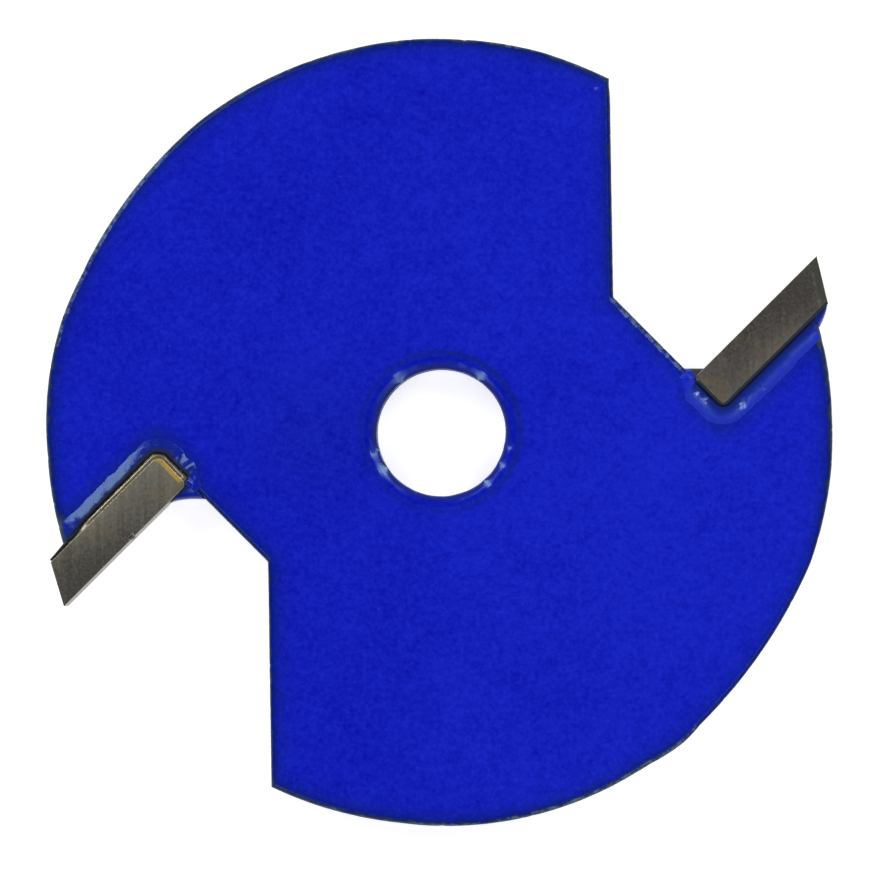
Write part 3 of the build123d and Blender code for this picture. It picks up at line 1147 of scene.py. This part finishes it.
# Scuffs, with painted glints of the soft boxes on the rim and the gullet floor.
SCUFF_AND_GLINT = (0.17, 0.24, 0.40, 1)
BARE_STEEL = (0.11, 0.17, 0.23, 1)
SPECULAR_TINT = (0.60, 0.92, 1.0, 1)
# A darker patch left of the bore.
HOLLOW_CENTRE = (-0.0075, 0, 0)
HOLLOW_RADIUS = 0.0075
HOLLOW_DARKENING = 0.13
PATCHES = (1400, 3, 0.6)
PATCHINESS = (1.2, 0.4)
GREYING = (0.9, -0.66)
SCUFF_AND_GLINT_RAGS = (3200.0, 1.6)
BARE_RAGS = (2600.0, 1.7)
SCUFF_AND_GLINT_COVER = 0.6
BARE_COVER = 0.8
WORN_ROUGHNESS = 0.25
DULLING = -0.42
COAT_RELIEF = 1.0e-5


def body_finish():
    """Lacquer that thins towards the edges, with painted shade there and beside the solder, scuffs
    with painted glints, a painted sheen in the bore, and bare steel.
    """
    material, tree, shader, place = new_material("blue_lacquer")
    coat = placed_group(tree, stoved_lacquer, place)
    patches = scaled(tree, noise(tree, place, *PATCHES), *PATCHINESS)
    away = add_node(tree, "VectorMath", {0: place, 1: HOLLOW_CENTRE}, operation="DISTANCE")
    away = away.outputs["Value"]
    hollow = mapped(tree, away, 0.0, HOLLOW_RADIUS, HOLLOW_DARKENING, 0.0, "SMOOTHSTEP")
    thin_and_shade_here = maths(tree, "ADD", read_value(tree, "thin_and_shade"), hollow)
    thin_and_shade_here = maths(tree, "MULTIPLY", thin_and_shade_here, patches)
    grey = scaled(tree, thin_and_shade_here, *GREYING)
    # The painted sheen on the bore's lead-in joins the grey.
    grey = maths(tree, "MAXIMUM", grey, read_value(tree, "milky_sheen"))
    scuff_and_glint = worn_through(tree, place, "scuffed_and_glint", *SCUFF_AND_GLINT_RAGS)
    worn = worn_through(tree, place, "bare", *BARE_RAGS)
    rubbed_and_glint = maths(tree, "MAXIMUM", scuff_and_glint, worn)
    layers = (
        (thin_and_shade_here, THIN_COAT_AND_SHADE),
        (grey, EDGE_GREY),
        (scaled(tree, scuff_and_glint, SCUFF_AND_GLINT_COVER), SCUFF_AND_GLINT),
        (scaled(tree, worn, BARE_COVER), BARE_STEEL),
    )
    feed(tree, shader, {
        "Base Color": painted(tree, coat["Color"], *layers),
        "Roughness": scaled(tree, rubbed_and_glint, WORN_ROUGHNESS, coat["Roughness"]),
        "Specular IOR Level": scaled(tree, read_value(tree, "dull"), DULLING, 0.5),
        "Specular Tint": SPECULAR_TINT,
        "Normal": relief(tree, maths(tree, "SUBTRACT", coat["Height"], worn), COAT_RELIEF),
    })
    return material


lacquered_body.data.materials.append(body_finish())


# %% [markdown]
# ## Ground carbide
# Carbide is a dark, warm grey metal. The wheel left faint parallel lines across each flank,
# and the metal is lighter and warmer towards the inner end and along the back. The lines are
# noise that is stretched along one direction.

# %% Grinding lines
GRIND_TURN = math.radians(8)
LINE_SCALES = {"Fine": (16000, 700, 700), "Broad": (4200, 260, 260)}


def grinding_group():
    """A height that changes quickly across the grinding direction and slowly along it."""
    outputs = {name: "Float" for name in LINE_SCALES}
    group, given, made = new_group("grinding_lines", {"Vector": "Vector"}, outputs)
    for name, scales in LINE_SCALES.items():
        stretch = {"Vector": given["Vector"], "Rotation": (0, 0, GRIND_TURN), "Scale": scales}
        stretched = add_node(group, "Mapping", stretch).outputs[0]
        feed(group, made, {name: noise(group, stretched, 1.0, 2, 0.6)})
    return group


grinding_lines = grinding_group()

# %% Carbide
COLD_CARBIDE = (0.119, 0.110, 0.100, 1)
WARM_CARBIDE = ((0.240, 0.222, 0.203, 1), (0.340, 0.328, 0.272, 1))
FACET_GREEN = (0.100, 0.108, 0.088, 1)
PALE_SCRATCH = (0.36, 0.34, 0.28, 1)
STRAW = (0.36, 0.27, 0.11, 1)
GOLD = (0.78, 0.55, 0.16, 1)
# Burnt flux with painted shade beside the solder, and painted shade in the notch.
BURNT_FLUX_AND_SHADE = (0.0055, 0.0085, 0.018, 1)
GROUND_GRAIN = (5600, 2, 0.6)
GRAIN_SHARES = (1.7, 1.0)
BROAD_SHARE = 0.3
FINE_SHARE = 0.2
WARMER = 0.06
STAIN_CLOUDS = (700, 3, 0.6)
STAINS_ABOVE = 0.64
HEAT_STAINS = 0.2
SCRATCHES = (1800, 3, 0.7)
SCRATCH_CONTRAST = (5.0, -2.4)
RAGS = (1.2, -0.6)
SMEAR_COVER = 0.85
BURNT_AND_SHADE_BORDER = (0.3, 0.7)
STRAW_COVER = 1.6
FACET_COVER = 0.6
SCRATCH_COVER = 0.7
BROAD_ROUGHNESS = (0.10, 0.34)
BURNT_AND_SHADE_ROUGHNESS = 0.4
GROUND_RELIEF = 2.0e-6


def carbide_finish(wing):
    """Grey metal warmed by the warmth value, with grinding lines, straw stains and grain, a
    paler scratch where the facet begins, the dark margin of burnt flux and painted shade
    beside the first tip's solder, painted shade in the second tip's notch, and the second
    tip's gilded margin."""
    material, tree, shader, place = new_material(f"ground_carbide_{wing + 1}")
    lines = placed_group(tree, grinding_lines, place)
    warm_share = read_value(tree, "warmth")
    grain = noise(tree, place, *GROUND_GRAIN)
    shares = GRAIN_SHARES[wing], BROAD_SHARE, FINE_SHARE
    tone = maths(tree, "SUBTRACT", warm_share, 0.5 * sum(shares) - WARMER)
    for pattern, share in zip((grain, lines["Broad"], lines["Fine"]), shares):
        tone = scaled(tree, pattern, share, tone)
    stain = maths(tree, "SUBTRACT", noise(tree, place, *STAIN_CLOUDS), STAINS_ABOVE)
    stain = scaled(tree, warm_share, HEAT_STAINS, stain)
    scratches = scaled(tree, noise(tree, place, *SCRATCHES), *SCRATCH_CONTRAST)
    scratched = maths(tree, "MULTIPLY", read_value(tree, "border"), scratches)
    ragged = scaled(tree, grain, *RAGS)
    patchy = scaled(tree, stain, 2.0, maths(tree, "ADD", SMEAR_COVER, ragged))
    burnt_and_shade = maths(tree, "ADD", read_value(tree, "burnt_and_shade"), ragged)
    burnt_and_shade = mapped(tree, burnt_and_shade, *BURNT_AND_SHADE_BORDER)
    layers = (
        (tone, WARM_CARBIDE[wing]),
        (scaled(tree, stain, STRAW_COVER), STRAW),
        (scaled(tree, read_value(tree, "facet"), FACET_COVER), FACET_GREEN),
        (scaled(tree, scratched, SCRATCH_COVER), PALE_SCRATCH),
        (maths(tree, "MULTIPLY", read_value(tree, "smear"), patchy), GOLD),
        (burnt_and_shade, BURNT_FLUX_AND_SHADE),
    )
    rough = scaled(tree, lines["Broad"], *BROAD_ROUGHNESS)
    feed(tree, shader, {
        "Base Color": painted(tree, COLD_CARBIDE, *layers),
        "Metallic": maths(tree, "SUBTRACT", 1.0, burnt_and_shade),
        "Roughness": scaled(tree, burnt_and_shade, BURNT_AND_SHADE_ROUGHNESS, rough),
        "Normal": relief(tree, scaled(tree, lines["Fine"], 0.5, grain), GROUND_RELIEF),
    })
    return material


for wing, tip in enumerate(ground_tips):
    tip.data.materials.append(carbide_finish(wing))

# %% [markdown]
# ## The seams' finish
# The dip coat covers the solder as well, so the bead is as blue as the body. The groove
# against the tip is dark with burnt flux and painted shade, and on the second tip the wheel
# that ground the flank also opened the solder's lip, which shines as a thin brassy line. Each
# wing has its own row of colours, from the tip outwards, and how much of the coat they hide.
# The first wing's row also holds painted shade near the tip and at the outer part of the bead,
# with a faint painted highlight between. On the highest blobs painted glints are laid on as
# rubbed-off coat.

# %% Lacquered solder
TONE_REACH = 1.3
# Each row is real colour and painted light together. The first darkens towards the tip with burnt
# flux and painted shade, lightens a little across the middle of the bead as a painted highlight, and
# is darker further out with painted shade. The second holds the brass lip, the groove dark with
# burnt flux and painted shade, and a darker blue further out.
SEAM_TONES_AND_PAINTED_LIGHT = (
    (
        (0.00, (0.010, 0.017, 0.060, 1.0)),
        (0.06, (0.011, 0.021, 0.110, 1.0)),
        (0.14, (0.010, 0.021, 0.160, 1.0)),
        (0.26, (0.007, 0.020, 0.210, 1.0)),
        (0.44, (0.006, 0.019, 0.300, 0.9)),
        (0.62, (0.012, 0.028, 0.400, 0.7)),
        (0.86, (0.013, 0.028, 0.430, 0.6)),
        (1.00, (0.006, 0.016, 0.320, 0.4)),
        (1.28, (0.006, 0.016, 0.320, 0.1)),
    ),
    (
        (0.00, (0.27, 0.23, 0.13, 1.0)),
        (0.06, (0.29, 0.25, 0.14, 1.0)),
        (0.10, (0.40, 0.36, 0.26, 1.0)),
        (0.18, (0.40, 0.36, 0.27, 1.0)),
        (0.22, (0.014, 0.012, 0.013, 1.0)),
        (0.29, (0.014, 0.012, 0.013, 1.0)),
        (0.34, (0.020, 0.026, 0.055, 1.0)),
        (0.42, (0.014, 0.022, 0.075, 1.0)),
        (0.54, (0.006, 0.016, 0.150, 0.8)),
        (0.95, (0.004, 0.014, 0.160, 0.5)),
    ),
)
GROUND_SOLDER = (0.070, 0.063, 0.052, 1)
# Pale blue of the painted glints on the highest blobs, laid on as rubbed-off solder.
RUBBED_SOLDER_GLINT = (0.34, 0.47, 0.86, 1)
SHAKES = (2600, 3, 0.6)
SHAKEN_BY = (0.24, -0.12)
LIP_BORDER = (0.22, 0.26)
RUBBED_GLINT_RAGS = (3800.0, 1.9)
RUBBED_GLINT_COVER = 0.55
BURNT_AND_SHADE_COVER = (0.82, 1.0)
BURNT_AND_SHADE_DULLING = 0.45
ROUGHER = (0.06, -0.07)
BARE_ROUGHNESS = 0.25
LIP_ROUGHNESS = 0.15
SEAM_LUMPS = (1700, 1)
SEAM_RELIEFS = (2.5e-5, 4e-5)


def seam_finish(wing):
    """Lacquer under the wing's own row of colours, which holds painted shade and highlight, with
    metal where the solder is bare and painted glints on the highest blobs. The dark groove of
    burnt flux and painted shade, where the row hides the coat but isn't the lip, has less shine."""
    material, tree, shader, place = new_material(f"lacquered_braze_{wing + 1}")
    coat = placed_group(tree, stoved_lacquer, place)
    shake = scaled(tree, noise(tree, place, *SHAKES), *SHAKEN_BY)
    reach = maths(tree, "ADD", read_value(tree, "across"), shake)
    tone, cover = ramp(tree, maths(tree, "DIVIDE", reach, TONE_REACH), SEAM_TONES_AND_PAINTED_LIGHT[wing])
    bare_here = read_value(tree, "bare_solder")
    lip = mapped(tree, reach, *LIP_BORDER, float(wing), 0.0)
    beyond_lip = maths(tree, "SUBTRACT", 1.0, lip)
    rub_glint = scaled(tree, worn_through(tree, place, "rubbed_and_glint", *RUBBED_GLINT_RAGS), RUBBED_GLINT_COVER)
    metal = maths(tree, "MAXIMUM", lip, maths(tree, "MAXIMUM", bare_here, rub_glint))
    burnt_and_shade = maths(tree, "MULTIPLY", cover, beyond_lip)
    burnt_and_shade = mapped(tree, burnt_and_shade, *BURNT_AND_SHADE_COVER, 0.0, BURNT_AND_SHADE_DULLING)
    rough = maths(tree, "ADD", coat["Roughness"], ROUGHER[wing])
    rough = scaled(tree, bare_here, BARE_ROUGHNESS, rough)
    ragged = scaled(tree, coat["Height"], 0.2, noise(tree, place, *SEAM_LUMPS))
    ragged = maths(tree, "MULTIPLY", ragged, beyond_lip)
    layers = (cover, tone), (bare_here, GROUND_SOLDER), (rub_glint, RUBBED_SOLDER_GLINT)
    feed(tree, shader, {
        "Base Color": painted(tree, coat["Color"], *layers),
        "Metallic": metal,
        "Roughness": scaled(tree, lip, LIP_ROUGHNESS, rough),
        "Specular IOR Level": maths(tree, "SUBTRACT", 0.5, burnt_and_shade),
        "Specular Tint": SPECULAR_TINT,
        "Normal": relief(tree, ragged, SEAM_RELIEFS[wing]),
    })
    return material


for wing, seam in enumerate(soldered_seams):
    seam.data.materials.append(seam_finish(wing))

# %% [markdown]
# ## The table, the light and the camera
# The cutter lies on a white table and is seen from above through a long lens that stands a
# little to the lower right, so that the left cutting face just shows. The table's own colour
# makes the background white, helped for the camera by a glow, and keeps the soft shadow.
# Four soft boxes stand on the diagonals, because the real picture has its highlights there:
# on the solder beads, at the bore and on the gullet floor. The air overhead stays dark, so
# that the flat lacquer keeps its full blue.

# %% The table
TABLE_HALF = 2000.0
TABLE_GLOW = 0.62
PALE_WHITE = (0.80, 0.80, 0.80, 1)
WHITE = (0.86, 0.86, 0.86, 1)
table_height = solid_box[0].z


def table_finish():
    """White from above with a faint glow for the camera, and clear from below."""
    material, tree, shader, place = new_material("white_table")
    white = painted(tree, PALE_WHITE, (noise(tree, place, 40, 2), WHITE))
    feed(tree, shader, {"Base Color": white, "Roughness": 0.9, "Specular IOR Level": 0.1})
    rays = add_node(tree, "LightPath", {}).outputs
    seen = maths(tree, "MAXIMUM", rays["Is Camera Ray"], rays["Is Glossy Ray"])
    seen = maths(tree, "MAXIMUM", seen, rays["Is Transmission Ray"])
    glow = add_node(tree, "Emission", {"Strength": scaled(tree, seen, TABLE_GLOW)}).outputs[0]
    lit = add_node(tree, "AddShader", {0: shader.outputs[0], 1: glow}).outputs[0]
    clear = add_node(tree, "BsdfTransparent", {}).outputs[0]
    below = add_node(tree, "NewGeometry", {}).outputs["Backfacing"]
    both = add_node(tree, "MixShader", {0: below, 1: lit, 2: clear}).outputs[0]
    feed(tree, tree.nodes["Material Output"], {"Surface": both})
    return material


side = np.array([-TABLE_HALF, 0, TABLE_HALF]) * MM
table_x, table_y = np.meshgrid(side, side)
table_points = np.stack([table_x, table_y, table_height + 0 * table_x], axis=-1).reshape(-1, 3)
table_mesh = bpy.data.meshes.new("table")
table_mesh.from_pydata(table_points.tolist(), [], grid_faces(3, 3))
table_mesh.materials.append(table_finish())
table = bpy.data.objects.new("table", table_mesh)
bpy.context.scene.collection.objects.link(table)

# %% The air around
HORIZON = 0.6
OVERHEAD = 0.07
world = bpy.data.worlds.new("studio")
world.use_nodes = True
bpy.context.scene.world = world
air = world.node_tree
direction = add_node(air, "TexCoord", {}).outputs["Generated"]
up = add_node(air, "SeparateXYZ", {"Vector": direction}).outputs["Z"]
level = mapped(air, up, 0.06, 0.38, HORIZON, OVERHEAD, "SMOOTHSTEP")
feed(air, air.nodes["Background"], {"Strength": level, "Color": (1, 1, 1, 1)})


# %% Soft boxes
BOX_DISTANCE = 0.6
BOX_SIZE = 0.315


def soft_box(name, azimuth, elevation, radiance):
    """A square lamp that faces the cutter. Its power is radiance times pi times its area."""
    lamp = bpy.data.lights.new(name, "AREA")
    lamp.shape = "SQUARE"
    lamp.size = BOX_SIZE
    lamp.energy = radiance * math.pi * BOX_SIZE**2
    box = bpy.data.objects.new(name, lamp)
    rise = math.radians(elevation)
    away = Vector((*polar(math.cos(rise), math.radians(azimuth)), math.sin(rise)))
    box.location = away * BOX_DISTANCE
    box.rotation_euler = away.to_track_quat("Z", "Y").to_euler()
    bpy.context.scene.collection.objects.link(box)


SOFT_BOXES = (
    ("upper_left_box", 135, 44, 5.0),
    ("upper_right_box", 38, 46, 5.0),
    ("lower_left_box", 232, 46, 3.5),
    ("lower_right_box", 312, 46, 2.5),
)
for box_values in SOFT_BOXES:
    soft_box(*box_values)

# %% The camera
LENS = 270.0
SENSOR = 36.0
PICTURE_WIDTH = 53.27
PICTURE_CENTRE = (-0.34, -0.20)
CAMERA_ASIDE = (6.7, -6.7)
camera_data = bpy.data.cameras.new("camera")
camera_data.lens = LENS
camera_data.sensor_width = SENSOR
camera_data.clip_start = 0.01
camera_data.clip_end = 10
camera = bpy.data.objects.new("camera", camera_data)
camera_distance = PICTURE_WIDTH * LENS / SENSOR
camera_rise = math.sqrt(camera_distance**2 - math.hypot(*CAMERA_ASIDE) ** 2)
camera.location = Vector((
    PICTURE_CENTRE[0] + CAMERA_ASIDE[0],
    PICTURE_CENTRE[1] + CAMERA_ASIDE[1],
    half_thickness + camera_rise,
)) * MM
camera.rotation_euler = (
    math.asin(-CAMERA_ASIDE[1] / camera_distance),
    math.atan2(CAMERA_ASIDE[0], camera_rise),
    0,
)
bpy.context.scene.collection.objects.link(camera)
bpy.context.scene.camera = camera
bpy.context.scene.view_settings.view_transform = "Standard"
print("camera", round(camera_rise, 1), "mm above the face,", CAMERA_ASIDE, "mm aside")
